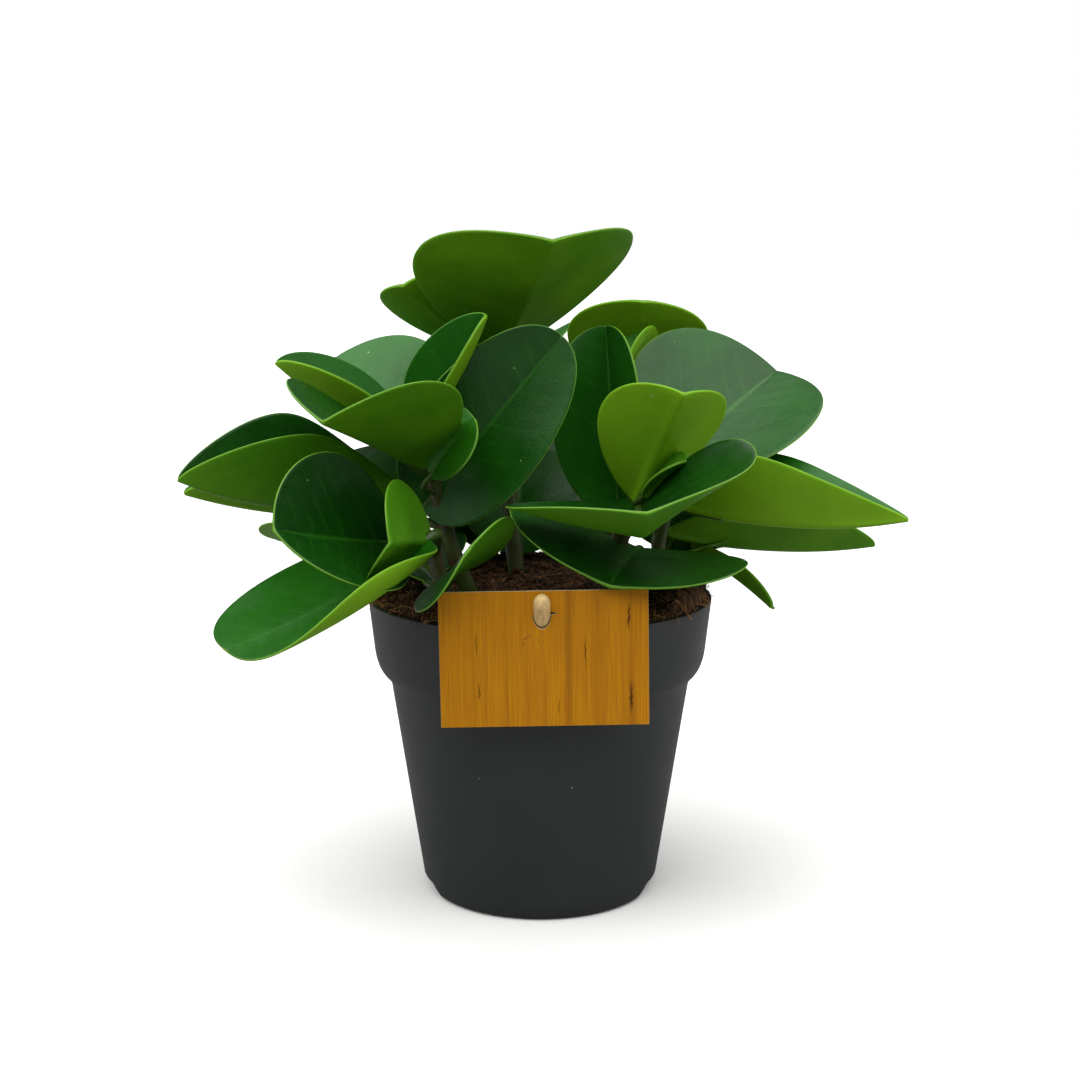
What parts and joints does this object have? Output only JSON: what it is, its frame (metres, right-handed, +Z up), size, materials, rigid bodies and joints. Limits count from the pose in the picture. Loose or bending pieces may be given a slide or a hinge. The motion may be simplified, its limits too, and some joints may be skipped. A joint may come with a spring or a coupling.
{
  "type": "potted peperomia",
  "caption": "Young peperomia with fleshy rounded leaves on short stems, growing in a round grower's pot of soil, with a card label on a wooden stick.",
  "frame": {"origin": "centre of the pot's foot, on the surface that the pot stands on", "axes": "+Z up, -Y towards the front where the label card hangs, +X to the right seen from the front"},
  "size_m": [0.2365, 0.1957, 0.2316],
  "materials": {
    "leaf": "fleshy, half-gloss leaf surface",
    "pot": "injection moulded, satin dark grey",
    "soil": "dark crumbly peat with fibres",
    "card": "card printed with a plain wood grain",
    "stick": "bare turned softwood"
  },
  "bodies": {
    "root": {"pot": "pot", "soil": "soil", "leafy_stem_left": "leaf", "leafy_stem_front_left": "leaf", "leafy_stem_front": "leaf", "leafy_stem_tall": "leaf", "leafy_stem_back": "leaf", "leafy_stem_right": "leaf", "label_card": "card", "label_stick": "stick"}
  },
  "joints": []
}
